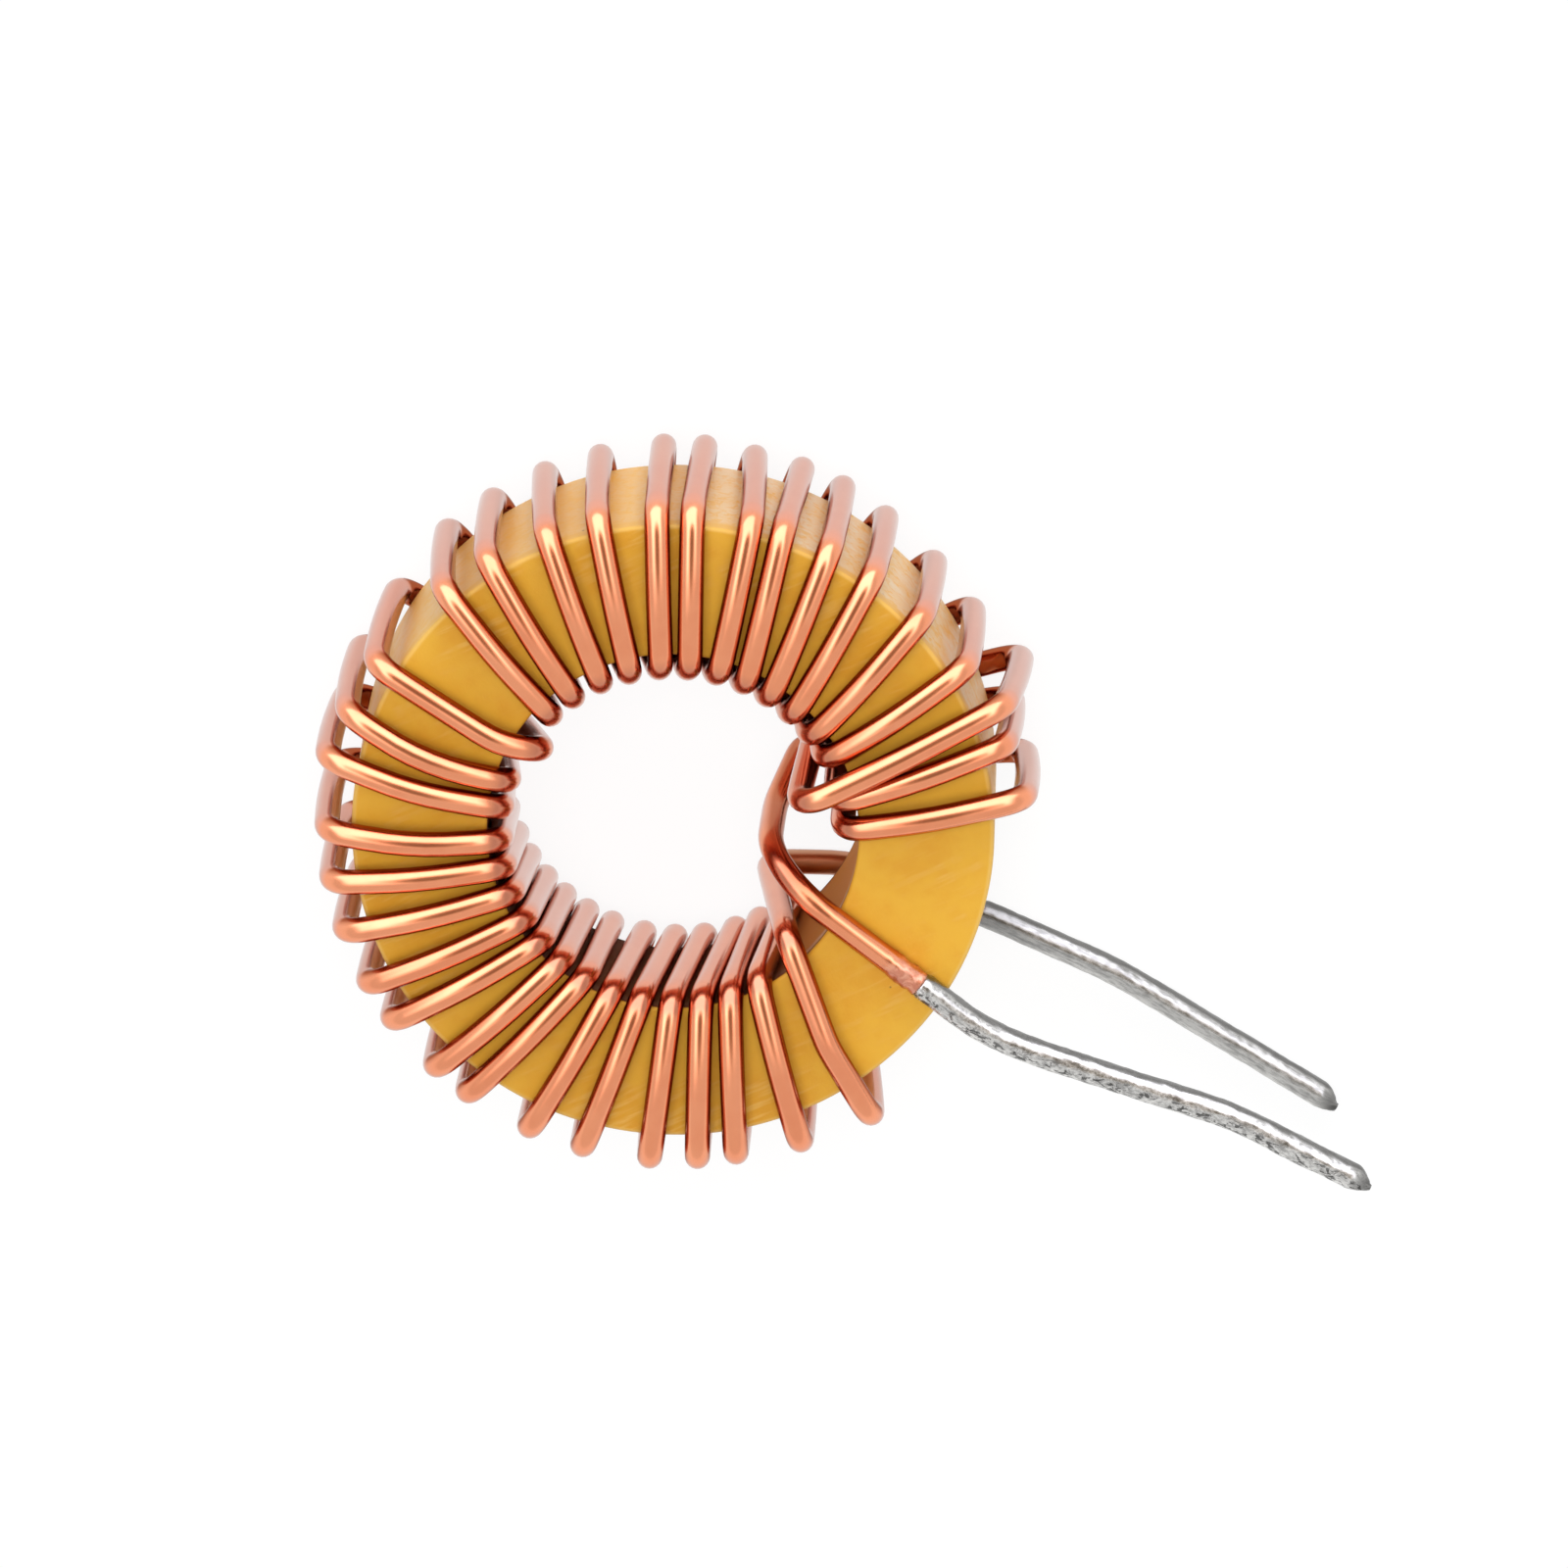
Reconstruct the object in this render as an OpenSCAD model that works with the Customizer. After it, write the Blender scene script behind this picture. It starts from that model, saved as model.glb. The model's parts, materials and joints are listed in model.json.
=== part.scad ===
// Toroidal inductor: one enamelled copper wire wound through a powder core,
// with both of its ends stripped and tinned.
// The core lies flat: its axis is Z, and the leads run out along +X.

/* [Core] */
// Outside diameter of the core, over its paint
core_od = 23.9; // [23.4:0.1:26]
// Diameter of the bore at the front
core_id = 13.8; // [13.6:0.1:14.6]
// How much further from the axis the wall of the bore is at the back
bore_draft = 0.3; // [0:0.05:0.4]
// Height of the core
core_h = 7.9; // [6.5:0.1:10]
// Rounding of the core's edges
core_edge = 0.15; // [0.1:0.05:0.3]

/* [Wire] */
// Diameter of the wire over its enamel
wire_d = 0.95; // [0.8:0.01:0.96]
// Thickness of the enamel
enamel = 0.025; // [0.02:0.005:0.04]
// Gap between the wire and the faces that it is drawn over
wire_gap = 0.05; // [0.04:0.01:0.08]
// Centre-line radius of the bends at the bore
bore_bend = 0.7; // [0.65:0.01:0.72]
// How much wider than the core's own edge the wire bends at the rim
rim_ease = 0.36; // [0.2:0.02:0.36]

/* [Leads] */
// How far the front lead reaches from the axis of the core
front_reach = 29.4; // [27:0.1:40]
// How far the rear lead reaches from the axis of the core
rear_reach = 28.4; // [25:0.1:40]
// How far inside the rim the front lead is stripped
front_strip = 1.2; // [0.5:0.1:2]
// How far outside the rim the rear lead is stripped
rear_strip = 0.7; // [0.5:0.1:1]
// Thickness of the tin on the stripped copper
tin = 0.06; // [0.04:0.01:0.1]
// Length of the tapered drop of tin on each tip
tip_len = 0.8; // [0.4:0.1:1.5]

/* [Hidden] */
$fn = 48;

core_z = wire_d + wire_gap;                   // underside of the core
front_z = core_z + core_h + wire_gap + wire_d / 2;  // centre line of the wire over the core
back_z = wire_d / 2;                          // centre line of the wire under the core
bore_r = core_id / 2 - wire_gap - wire_d / 2; // centre line of the wire at the front of the bore
bore_back_r = bore_r + bore_draft;            // and at the back of it
rim_r = core_od / 2 + wire_gap + wire_d / 2;  // centre line of the wire on the rim
rim_bend = core_edge + wire_d / 2 + rim_ease; // centre-line radius of the bends at the rim
copper_d = wire_d - 2 * enamel;               // the stripped wire
tin_d = copper_d + 2 * tin;                   // over the tin
tin_fit = 0.01;                               // space between the copper and its tin
bend_swell = 0.01;                            // how much thicker the wire is in a bend
lap = 0.03;                                   // how far a straight runs into the bend at its end

// Each turn crosses the front of the core outwards, drops down the rim, comes back
// underneath and rises in the bore to the next one. A hand-wound coil is uneven, so
// these give the angle of each turn about the axis, in degrees, at its four corners.
bore_front = [346, 327, 317, 307, 297, 287, 277, 267, 257, 247.5, 238,
    228, 218.5, 209, 197.5, 188, 172, 161, 151.5, 141, 131, 121,
    111.5, 102, 92.5, 83.5, 74, 64.5, 55.5, 44.5, 40.5, 30.5];
rim_front = [331.5, 319, 308, 301.5, 293.5, 282, 272.5, 260.5, 253.5, 242.5, 235,
    225, 216, 207, 194.5, 186, 176.5, 159, 150, 139, 130, 120,
    114, 104, 98.5, 90, 81.5, 70.5, 59, 50.5, 44, 34.5];
rim_back = [330.5, 319.5, 308.5, 301.5, 293, 283, 274, 262, 254.5, 244.5, 236.5,
    226, 216.5, 207, 195, 186, 174, 160.5, 151, 141, 131, 120,
    113, 104.5, 96, 88.5, 79.5, 68, 57.5, 46.5, 40, 30.5];
bore_back = [338, 325, 316.5, 306, 296.5, 286.5, 275.5, 266.5, 257.5, 249, 240,
    231.5, 222, 212.5, 202, 190, 175.5, 164.5, 154.5, 144.5, 134.5, 125,
    115.5, 106, 96.5, 87.5, 78.5, 69, 59.5, 50, 41];
turns = len(bore_front);

// How far each turn stands off the core, in tenths of a millimetre, at the same corners.
bore_slack = [8, 1, 1, 1, 1, 1, 1, 1, 1, 1, 1, 1, 1, 1, 1, 1,
    7, 1, 1, 1, 1, 1, 1, 1, 1, 0, 0, 0, 0, 17, 3, 2];
rim_front_slack = [9, 6, 4, 4, 4, 4, 4, 4, 4, 4, 4, 4, 4, 4, 7, 5,
    4, 3, 3, 2, 2, 2, 2, 2, 2, 2, 2, 2, 3, 9, 4, 7];
rim_back_slack = [2, 3, 2, 2, 2, 2, 2, 2, 2, 2, 2, 2, 3, 4, 4, 4,
    2, 3, 2, 2, 2, 3, 3, 2, 3, 3, 2, 2, 3, 12, 4, 6];

// Two turns are bowed sideways on the front face: turn, distance from the axis, angle.
bowed = [[0, 9.8, 333.5], [16, 7.4, 177]];

function polar(r, a, z) = [r * cos(a), r * sin(a), z];
function unit(v) = v / norm(v);

// The turn that comes furthest into the bore rides over the one after it.
function lift(t) = t == 29 ? 0.9 : 0;

// A route is a list of corners, each with its point and the radius of its bend.
function bow(t) = [for (b = bowed) if (b[0] == t) [polar(b[1], b[2], front_z), 3]];

function turn(t) = concat(
    [[polar(bore_r - bore_slack[t] / 10, bore_front[t], front_z + lift(t)), bore_bend]],
    bow(t),
    [[polar(rim_r + rim_front_slack[t] / 10, rim_front[t], front_z), rim_bend],
    [polar(rim_r + rim_back_slack[t] / 10, rim_back[t], back_z), rim_bend]]);

function return_corner(t) = [polar(bore_back_r, bore_back[t], back_z), bore_bend];

// Each lead is bent by hand, from its tip to the bore.
rim_x = core_od / 2;
rear_z = tin_d / 2;
over_z = core_z + core_h + wire_gap + tin_d / 2;
rear_corners = [
    [[rear_reach - tip_len, -0.3, rear_z], 0],
    [[rim_x + 6.5, 0.4, rear_z], 15],
    [[rim_x + 1.5, 0.15, rear_z], 10],
    [[core_id / 2 + 0.6, -0.5, back_z], 4],
    [polar(bore_r - 1.3, -22, back_z), bore_bend]];
front_corners = [
    [[front_reach - tip_len, 0.1, over_z], 0],
    [[rim_x + 11.6, 0.1, over_z], 12],
    [[rim_x + 2.2, -1.4, over_z], 11],
    [[bore_r - 2.8, 0.6, over_z + 0.1], 3.1],
    [[bore_r - 2.9, 1.3, front_z - 5.5], 3],
    [polar(bore_r - 1.5, 41, back_z + 0.2), 0.9],
    [polar(bore_r - 0.5, 28, back_z), 0.8]];

// Both leads are stripped on the leg between their third and fourth corners.
strip_leg = 2;
front_strip_x = rim_x - front_strip;
rear_strip_x = rim_x + rear_strip;
copper_tuck = 0.5;                            // how far the copper is drawn into the enamel's end

function point_at(c, x) =
    let (a = c[strip_leg][0], b = c[strip_leg + 1][0])
    a + (b - a) * (a.x - x) / (a.x - b.x);

function reversed(c) = [for (i = [len(c) - 1 : -1 : 0]) c[i]];
function from(c, i) = [for (k = [i : len(c) - 1]) c[k]];
function upto(c, i) = [for (k = [0 : i]) c[k]];
function stripped(c, x) = concat(upto(c, strip_leg), [[point_at(c, x), 0]]);

route = concat(
    [[point_at(rear_corners, rear_strip_x), 0]],
    from(rear_corners, strip_leg + 1),
    [for (t = [0 : turns - 2]) each concat(turn(t), [return_corner(t)])],
    turn(turns - 1),
    reversed(from(front_corners, strip_leg + 1)),
    [[point_at(front_corners, front_strip_x), 0]]);

// Directions into and out of a corner, and how far its bend reaches along each leg.
function into(c, i) = unit(c[i][0] - c[i - 1][0]);
function out_of(c, i) = unit(c[i + 1][0] - c[i][0]);
function deflection(c, i) = acos(min(1, into(c, i) * out_of(c, i)));
function reach(c, i) = c[i][1] * tan(deflection(c, i) / 2);
function trim(c, i) = i == 0 || i == len(c) - 1 ? 0 : reach(c, i) - lap;

module along(u) {
    rotate([0, acos(u.z), atan2(u.y, u.x)]) children();
}

module leg(c, i, d) {
    u = out_of(c, i);
    translate(c[i][0] + u * trim(c, i))
        along(u)
            cylinder(d = d, h = norm(c[i + 1][0] - c[i][0]) - trim(c, i) - trim(c, i + 1));
}

module bend(c, i, d) {
    u = into(c, i);
    w = out_of(c, i);
    axis = unit(cross(u, w));
    from_centre = cross(u, axis);
    centre = c[i][0] - u * reach(c, i) - from_centre * c[i][1];
    multmatrix([
        [from_centre.x, u.x, axis.x, centre.x],
        [from_centre.y, u.y, axis.y, centre.y],
        [from_centre.z, u.z, axis.z, centre.z],
        [0, 0, 0, 1]])
        rotate_extrude(angle = deflection(c, i))
            translate([c[i][1], 0])
                circle(d = d + bend_swell);
}

// Round wire along a stretch of a route, from one corner's bend to the leg before the next.
module wire(c, d, first, last) {
    for (i = [first : last]) {
        if (i > 0) bend(c, i, d);
        leg(c, i, d);
    }
}

module core() {
    color("goldenrod")
        translate([0, 0, core_z])
            rotate_extrude($fn = 180)
                section();
}

// One side of the core: the wall of the bore slants, and all the edges are rounded.
module section() {
    s = atan(bore_draft / core_h);
    e = core_edge;
    out = [-cos(s), -sin(s)];
    c = [[core_od / 2 - e, e], [core_od / 2 - e, core_h - e],
        [wall(core_h - e) + e / cos(s), core_h - e], [wall(e) + e / cos(s), e]];
    polygon([c[0] + [0, -e], c[0] + [e, 0], c[1] + [e, 0], c[1] + [0, e],
        c[2] + [0, e], c[2] + e * out, c[3] + e * out, c[3] + [0, -e]]);
    for (centre = c)
        translate(centre) circle(e);
}

// Distance of the bore's wall from the axis, at a height above the back face.
function wall(z) = core_id / 2 + bore_draft * (1 - z / core_h);

module winding() {
    corners = len(route);
    stretch = 8;
    color("chocolate") {
        for (i = [0 : stretch : corners - 2])
            wire(route, wire_d, i, min(i + stretch, corners - 1) - 1);
        wire(stripped(rear_corners, rear_strip_x - copper_tuck), copper_d, 0, strip_leg);
        wire(stripped(front_corners, front_strip_x - copper_tuck), copper_d, 0, strip_leg);
    }
}

module front_tinning() { color("silver") tinning(front_corners, front_strip_x); }
module rear_tinning() { color("silver") tinning(rear_corners, rear_strip_x); }

// A coat of tin over the stripped end of a lead, closed over its tip.
module tinning(c, strip) {
    difference() {
        union() {
            wire(stripped(c, strip), tin_d, 0, strip_leg);
            translate(c[0][0]) along(-out_of(c, 0)) tip();
        }
        wire(stripped(c, strip - copper_tuck), copper_d + 2 * tin_fit, 0, strip_leg);
    }
}

module tip() {
    r = tin_d / 2 - bend_swell;
    rotate_extrude()
        polygon([[0, -tin_d], [r, -tin_d], for (a = [0 : 15 : 75]) [r * cos(a), tip_len * sin(a)], [0, tip_len]]);
}

core();
winding();
front_tinning();
rear_tinning();
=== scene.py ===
import json
import math

import bpy
import numpy as np
from mathutils import Matrix, Vector, noise


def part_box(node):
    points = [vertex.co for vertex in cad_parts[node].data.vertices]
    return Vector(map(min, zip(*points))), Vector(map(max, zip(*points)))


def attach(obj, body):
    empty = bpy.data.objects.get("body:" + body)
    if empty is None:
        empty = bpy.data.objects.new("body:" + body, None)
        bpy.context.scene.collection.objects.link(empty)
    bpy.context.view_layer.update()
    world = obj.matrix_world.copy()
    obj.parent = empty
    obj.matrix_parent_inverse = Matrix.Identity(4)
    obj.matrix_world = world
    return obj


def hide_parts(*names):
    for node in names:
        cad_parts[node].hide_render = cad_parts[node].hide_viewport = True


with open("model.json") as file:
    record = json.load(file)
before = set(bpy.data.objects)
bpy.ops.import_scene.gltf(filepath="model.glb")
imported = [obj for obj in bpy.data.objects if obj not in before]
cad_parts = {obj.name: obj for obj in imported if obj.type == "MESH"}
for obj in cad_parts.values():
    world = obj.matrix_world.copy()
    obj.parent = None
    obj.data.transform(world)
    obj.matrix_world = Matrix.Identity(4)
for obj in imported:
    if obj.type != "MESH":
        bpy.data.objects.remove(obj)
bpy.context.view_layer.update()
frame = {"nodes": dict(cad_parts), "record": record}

mm = 0.001
print("frame: loaded")

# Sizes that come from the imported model, in millimetres
coreLow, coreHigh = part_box("core")
coreVertices = np.array([vertex.co for vertex in frame["nodes"]["core"].data.vertices]) / mm
mounts = {mount["name"]: mount for mount in frame["record"]["mounts"]}
core = {
    "outer": (coreHigh.x - coreLow.x) / 2 / mm,
    "bore": float(np.hypot(coreVertices[:, 0], coreVertices[:, 1]).min()),
    "bottom": coreLow.z / mm,
    "top": coreHigh.z / mm,
    "draft": 0.3,           # the bore widens towards the back
    "edge": 0.15,           # rounding of the pressed edges
    "steps": 288,           # faces round the ring
    "unevenness": 0.03,     # how far the paint wanders from a true ring
    "rows": 14,             # strips across each flat side
}
tinRadius = mounts["front_lead"]["dims"]["r_mm"]
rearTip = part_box("rear_tinning")[1].x / mm
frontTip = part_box("front_tinning")[1].x / mm


# Camera

camera = {
    "lens": 300,            # a long lens, so the far rim is hardly smaller
    "sensor": 36,
    "fieldWidth": 58.65,    # what the frame takes in, in mm
    "turn": -28,            # the leads point down to the right
    "tilt": 18,             # seen from a little beyond straight above
    "lean": -1.5,
    "aim": (4.03, 0.586),   # from the ring's centre, right and up in the view, in mm
}


def placeCamera(spec, centre):
    turned = (Matrix.Rotation(math.radians(spec["lean"]), 3, "Y")
              @ Matrix.Rotation(math.radians(spec["tilt"]), 3, "X")
              @ Matrix.Rotation(math.radians(spec["turn"]), 3, "Z"))
    right, up, back = turned.row[0], turned.row[1], turned.row[2]
    distance = spec["fieldWidth"] * spec["lens"] / spec["sensor"]
    target = centre + right * spec["aim"][0] + up * spec["aim"][1]
    place = (target + back * distance) * mm
    data = bpy.data.cameras.new("camera")
    data.lens = spec["lens"]
    data.sensor_width = spec["sensor"]
    data.clip_start = 0.01
    data.clip_end = 20
    made = bpy.data.objects.new("camera", data)
    bpy.context.scene.collection.objects.link(made)
    made.matrix_world = Matrix.Translation(place) @ turned.transposed().to_4x4()
    bpy.context.scene.camera = made


placeCamera(camera, Vector((0, 0, (core["bottom"] + core["top"]) / 2)))
print("camera: placed")


# Node helpers

def fillSockets(tree, node, values):
    # a value is either another node's output or a constant
    for socket, value in values.items():
        if hasattr(value, "is_output"):
            tree.links.new(value, node.inputs[socket])
        else:
            node.inputs[socket].default_value = value


def addNode(tree, kind, values=None, **settings):
    node = tree.nodes.new("ShaderNode" + kind)
    for name, value in settings.items():
        setattr(node, name, value)
    fillSockets(tree, node, values or {})
    return node


def calc(tree, operation, *values):
    node = addNode(tree, "Math", dict(enumerate(values)), operation=operation)
    return node.outputs[0]


def times(tree, first, second):
    return calc(tree, "MULTIPLY", first, second)


def blendColours(tree, amount, first, second):
    node = addNode(tree, "Mix", data_type="RGBA")
    fillSockets(tree, node, {0: amount, 6: first, 7: second})
    return node.outputs[2]


def blendValues(tree, amount, first, second):
    node = addNode(tree, "Mix", data_type="FLOAT")
    fillSockets(tree, node, {0: amount, 2: first, 3: second})
    return node.outputs[0]


def remap(tree, value, fromLow, fromHigh, toLow=0.0, toHigh=1.0, smooth=True):
    node = addNode(tree, "MapRange", {"Value": value}, clamp=True,
                   interpolation_type="SMOOTHSTEP" if smooth else "LINEAR")
    fillSockets(tree, node, dict(enumerate((fromLow, fromHigh, toLow, toHigh), start=1)))
    return node.outputs["Result"]


def stretch(tree, vector, scale):
    return addNode(tree, "VectorMath", {0: vector, 1: scale}, operation="MULTIPLY").outputs["Vector"]


def split(tree, vector):
    return addNode(tree, "SeparateXYZ", {"Vector": vector}).outputs


def fromAxis(tree, parts):
    squares = [times(tree, parts[axis], parts[axis]) for axis in ("X", "Y")]
    return calc(tree, "SQRT", calc(tree, "ADD", *squares))


def reachTowards(tree, place, degrees):
    # how far a place lies from the ring's axis in one direction
    turned = math.radians(degrees)
    axis = (math.cos(turned), math.sin(turned), 0)
    return addNode(tree, "VectorMath", {0: place, 1: axis}, operation="DOT_PRODUCT").outputs["Value"]


def colour(red, green, blue):
    # from screen values, 0 to 255, to the linear values that the shaders take
    def linear(value):
        value = value / 255
        return value / 12.92 if value <= 0.04045 else ((value + 0.055) / 1.055) ** 2.4
    return (linear(red), linear(green), linear(blue), 1.0)


def startGroup(name, inputs, outputs):
    group = bpy.data.node_groups.new(name, "ShaderNodeTree")
    for title, kind, value in inputs:
        socket = group.interface.new_socket(title, in_out="INPUT", socket_type="NodeSocket" + kind)
        if value is not None:
            socket.default_value = value
    for title, kind in outputs:
        group.interface.new_socket(title, in_out="OUTPUT", socket_type="NodeSocket" + kind)
    return group, group.nodes.new("NodeGroupInput"), group.nodes.new("NodeGroupOutput")


def useGroup(tree, group, values):
    node = tree.nodes.new("ShaderNodeGroup")
    node.node_tree = group
    fillSockets(tree, node, values)
    return node.outputs


def startMaterial(name):
    made = bpy.data.materials.new(name)
    made.use_nodes = True
    tree = made.node_tree
    tree.nodes.clear()
    shader = addNode(tree, "BsdfPrincipled")
    addNode(tree, "OutputMaterial", {"Surface": shader.outputs[0]})
    return made, tree, shader


def addObject(name, data):
    made = bpy.data.objects.new(name, data)
    bpy.context.scene.collection.objects.link(made)
    return made


# Effects that several materials share

def makeGrainGroup():
    # fine uneven grain: a soft large wander and a fine tooth on top of it
    group, inside, outside = startGroup(
        "grain",
        [("Vector", "Vector", None), ("Scale", "Float", 1.0),
         ("Fine Scale", "Float", 8.0), ("Fine Share", "Float", 0.4)],
        [("Height", "Float")])
    given = inside.outputs
    broad = addNode(group, "TexNoise", {"Vector": given["Vector"], "Scale": given["Scale"], "Detail": 3.0})
    fine = addNode(group, "TexNoise", {"Vector": given["Vector"], "Scale": given["Fine Scale"], "Detail": 2.0})
    mixed = blendValues(group, given["Fine Share"], broad.outputs["Fac"], fine.outputs["Fac"])
    group.links.new(mixed, outside.inputs["Height"])
    return group


def makePatchGroup():
    # blotches with a ragged edge: 1 inside a blotch and 0 outside
    group, inside, outside = startGroup(
        "patches",
        [("Vector", "Vector", None), ("Scale", "Float", 1.0), ("Amount", "Float", 0.5),
         ("Softness", "Float", 0.1), ("Distortion", "Float", 0.5)],
        [("Mask", "Float")])
    given = inside.outputs
    spots = addNode(group, "TexNoise", {"Vector": given["Vector"], "Scale": given["Scale"], "Detail": 6.0,
                                        "Roughness": 0.62, "Distortion": given["Distortion"]})
    edge = calc(group, "SUBTRACT", 1.0, given["Amount"])
    above = calc(group, "ADD", edge, given["Softness"])
    below = calc(group, "SUBTRACT", edge, given["Softness"])
    mask = remap(group, spots.outputs["Fac"], below, above)
    group.links.new(mask, outside.inputs["Mask"])
    return group


grainGroup = makeGrainGroup()
patchGroup = makePatchGroup()


# The wire's route

wire = {
    "diameter": 0.95,
    "gap": 0.05,            # between the wire and the faces that it is drawn over
    "boreBend": 1.0,
    "backBend": 0.7,
    "boreLift": 0.15,       # lets that wide bend clear the core's edge
    "boreTight": 0.1,       # and brings it closer to the wall
    "rimEase": 0.36,        # how much wider than the core's edge the rim bends are
    "softness": 0.28,       # rounds the ends of each bend, in mm
    "arch": 0.62,           # height of the corner that arches a run over the face
    "archBend": 8.0,
    "rimBow": 0.08,         # how far a run bulges off the rim
    "lifted": {29: 0.9},    # the turn that rides over the one after it
    "sides": 20,
    # the angle of each turn at three of its corners
    "boreFront": [346, 327, 317, 307, 297, 287, 277, 267, 257, 247.5, 238,
                  228, 218.5, 209, 197.5, 188, 172, 161, 151.5, 141, 131, 121,
                  111.5, 102, 92.5, 83.5, 74, 64.5, 55.5, 44.5, 40.5, 30.5],
    "rimFront": [331.5, 319, 308, 301.5, 293.5, 282, 272.5, 260.5, 253.5, 242.5, 235,
                 225, 216, 207, 194.5, 186, 176.5, 159, 150, 139, 130, 120,
                 114, 104, 98.5, 90, 81.5, 70.5, 59, 50.5, 44, 34.5],
    "rimBack": [330.5, 319.5, 308.5, 301.5, 293, 283, 274, 262, 254.5, 244.5, 236.5,
                226, 216.5, 207, 195, 186, 174, 160.5, 151, 141, 131, 120,
                113, 104.5, 96, 88.5, 79.5, 68, 57.5, 46.5, 40, 30.5],
    # the angle at which each turn comes back into the bore
    "boreBack": [338, 325, 316.5, 306, 296.5, 286.5, 275.5, 266.5, 257.5, 249, 240,
                 231.5, 222, 212.5, 202, 190, 175.5, 164.5, 154.5, 144.5, 134.5, 125,
                 115.5, 106, 96.5, 87.5, 78.5, 69, 59.5, 50, 41],
    # how far each turn stands off the core at the same corners, in tenths of a mm
    "boreSlack": [8, 1, 1, 1, 1, 1, 1, 1, 1, 1, 1, 1, 1, 1, 1, 1,
                  7, 1, 1, 1, 1, 1, 1, 1, 1, 0, 0, 0, 0, 17, 3, 2],
    "rimFrontSlack": [9, 6, 4, 4, 4, 4, 4, 4, 4, 4, 4, 4, 4, 4, 7, 5,
                      4, 3, 3, 2, 2, 2, 2, 2, 2, 2, 2, 2, 3, 9, 4, 7],
    "rimBackSlack": [2, 3, 2, 2, 2, 2, 2, 2, 2, 2, 2, 2, 3, 4, 4, 4,
                     2, 3, 2, 2, 2, 3, 3, 2, 3, 3, 2, 2, 3, 12, 4, 6],
    # two turns are bowed sideways on the face: turn, distance from the axis, angle
    "bowed": {0: (9.8, 333.5), 16: (7.4, 177)},
    # and a few are nudged sideways half way along, in mm
    "nudged": {13: 0.2, 14: 0.2, 15: 0.5},
}
frontLine = core["top"] + wire["gap"] + wire["diameter"] / 2
backLine = wire["diameter"] / 2
boreLine = core["bore"] - wire["gap"] - wire["diameter"] / 2
boreBackLine = boreLine + core["draft"]
rimLine = core["outer"] + wire["gap"] + wire["diameter"] / 2
rimBend = core["edge"] + wire["diameter"] / 2 + wire["rimEase"]

leads = {
    "frontTip": frontTip,
    "rearTip": rearTip,
    "tipLength": 0.8,
    "frontStrip": core["outer"] - 1.2,
    "rearStrip": core["outer"] + 0.7,
}


def polar(radius, angle, height):
    return (radius * math.cos(math.radians(angle)), radius * math.sin(math.radians(angle)), height)


# Each corner is its point, the radius of its bend and the bow of the leg that follows it
def turnCorners(turn):
    last = len(wire["boreFront"]) - 1
    lift = wire["lifted"].get(turn, 0)
    slack = max(0, wire["boreSlack"][turn] / 10 - wire["boreTight"])
    inner = polar(boreLine - slack, wire["boreFront"][turn], frontLine + wire["boreLift"] + lift)
    outer = polar(rimLine + wire["rimFrontSlack"][turn] / 10, wire["rimFront"][turn], frontLine)
    if turn in wire["bowed"]:
        radius, angle = wire["bowed"][turn]
        middle = Vector(polar(radius, angle, frontLine))
    else:
        middle = (Vector(inner) + Vector(outer)) / 2
        middle += Vector((-middle.y, middle.x, 0)).normalized() * wire["nudged"].get(turn, 0)
    middle.z += wire["arch"] * (0.5 if lift else 1)
    corners = [(inner, wire["boreBend"], ""), (tuple(middle), 3 if turn in wire["bowed"] else wire["archBend"], ""),
               (outer, rimBend, "rim"),
               (polar(rimLine + wire["rimBackSlack"][turn] / 10, wire["rimBack"][turn], backLine), rimBend, "")]
    if turn < last:
        corners.append((polar(boreBackLine, wire["boreBack"][turn], backLine), wire["backBend"], ""))
    return corners


rearHeight = tinRadius
overHeight = core["top"] + wire["gap"] + tinRadius
rearCorners = [
    ((leads["rearTip"] - leads["tipLength"], -0.3, rearHeight), 0, ""),
    ((core["outer"] + 6.5, 0.4, rearHeight), 15, ""),
    ((core["outer"] + 1.5, 0.15, rearHeight), 10, ""),
    ((core["bore"] + 0.6, -0.5, backLine), 4, ""),
    (polar(boreLine - 1.3, -22, backLine), wire["backBend"], "")]
frontCorners = [
    ((leads["frontTip"] - leads["tipLength"], 0.1, overHeight), 0, ""),
    ((core["outer"] + 11.6, 0.1, overHeight), 12, ""),
    ((core["outer"] + 2.2, -1.4, overHeight), 11, ""),
    ((boreLine - 2.8, 0.6, overHeight + 0.1), 3.1, ""),
    ((boreLine - 2.9, 1.3, frontLine - 5.5), 3, ""),
    (polar(boreLine - 1.5, 41, backLine + 0.2), 0.9, ""),
    (polar(boreLine - 0.5, 28, backLine), 0.8, "")]


def pointAt(corners, reach):
    outer, inner = Vector(corners[2][0]), Vector(corners[3][0])
    return tuple(outer + (inner - outer) * (outer.x - reach) / (outer.x - inner.x))


def bowDirection(kind, middle):
    outward = Vector((middle.x, middle.y, 0)).normalized()
    return outward * wire["rimBow"] if kind == "rim" else Vector((0, 0, 0))


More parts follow.
